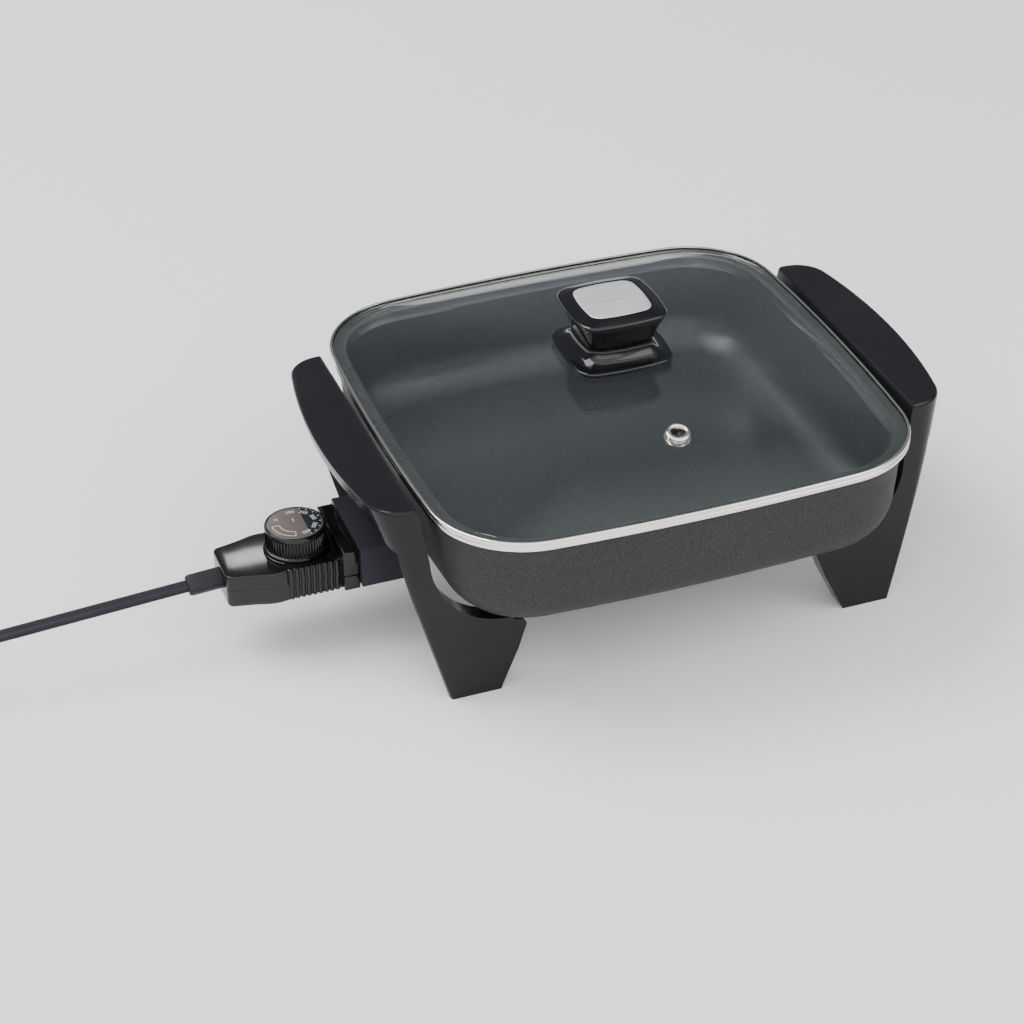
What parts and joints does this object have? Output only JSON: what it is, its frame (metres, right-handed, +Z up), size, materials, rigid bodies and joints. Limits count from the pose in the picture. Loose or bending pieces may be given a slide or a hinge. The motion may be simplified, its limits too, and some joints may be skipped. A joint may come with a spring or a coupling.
{
  "type": "electric skillet",
  "caption": "Square nonstick electric skillet on moulded handle legs, with a lift-off glass lid and a plug-in dial control on a flat cord.",
  "frame": {"origin": "on the table under the middle of the skillet's box, measured from the control's tail to the opposite handle and without the cord", "axes": "+X from the control side to the other handle, +Y to the back, +Z up"},
  "size_m": [0.8135, 0.31, 0.1897],
  "materials": {
    "pan_coating": "dark nonstick coating on cast aluminium, fine sparkle",
    "element_sheath": "dull steel sheath",
    "contact_metal": "plated brass",
    "ceramic": "unglazed ceramic",
    "guard_plastic": "matte",
    "screw_steel": "zinc plated",
    "handle_plastic": "black satin phenolic",
    "lid_glass": "clear tempered glass",
    "band_steel": "polished stainless steel",
    "gasket_rubber": "matte",
    "knob_plastic": "high gloss black phenolic",
    "inlay_steel": "brushed",
    "control_plastic": "gloss black",
    "block_plastic": "moulded phenolic",
    "lens_plastic": "dark translucent lens",
    "dial_face": "printed two-tone plate",
    "cord_vinyl": "soft black vinyl",
    "tie_vinyl": "black vinyl strap"
  },
  "bodies": {
    "skillet": {"pan": "pan_coating", "heating_element": "element_sheath", "element_pins": "contact_metal", "pin_bushes": "ceramic", "terminal_guard": "guard_plastic", "guard_screws": "screw_steel", "left_bracket": "handle_plastic", "right_bracket": "handle_plastic", "left_bracket_screws": "screw_steel", "right_bracket_screws": "screw_steel"},
    "lid": {"lid_glass": "lid_glass", "lid_rim": "band_steel", "vent_grommet": "band_steel", "knob_gasket": "gasket_rubber", "knob_base": "knob_plastic", "knob_grip": "knob_plastic", "knob_inlay": "inlay_steel", "knob_washer": "screw_steel", "knob_screw": "screw_steel"},
    "control": {"control_lower_shell": "control_plastic", "control_upper_shell": "control_plastic", "contact_block": "block_plastic", "contact_sleeves": "contact_metal", "probe_rod": "screw_steel", "thermostat_frame": "screw_steel", "bimetal_blade": "contact_metal", "contact_arm": "contact_metal", "control_screws": "screw_steel", "indicator_lens": "lens_plastic", "strain_relief": "cord_vinyl", "cord_run": "cord_vinyl", "cord_coil": "cord_vinyl", "cord_tail": "cord_vinyl", "cord_tie": "tie_vinyl", "plug_body": "cord_vinyl", "plug_blades": "contact_metal"},
    "dial": {"control_dial": "control_plastic", "dial_plate": "dial_face", "dial_spindle": "screw_steel"}
  },
  "joints": [
    {"name": "lid_lift", "type": "slide", "parent": "skillet", "child": "lid", "axis": [0, 0, 1], "range_m": [0, 0.15]},
    {"name": "control_pull", "type": "slide", "parent": "skillet", "child": "control", "axis": [-1, 0, 0], "range_m": [0, 0.1]},
    {"name": "dial_turn", "type": "hinge", "parent": "control", "child": "dial", "pos_m": [-0.1753, 0, 0.06], "axis": [0, 0, 1], "range_deg": [0, 280]}
  ]
}
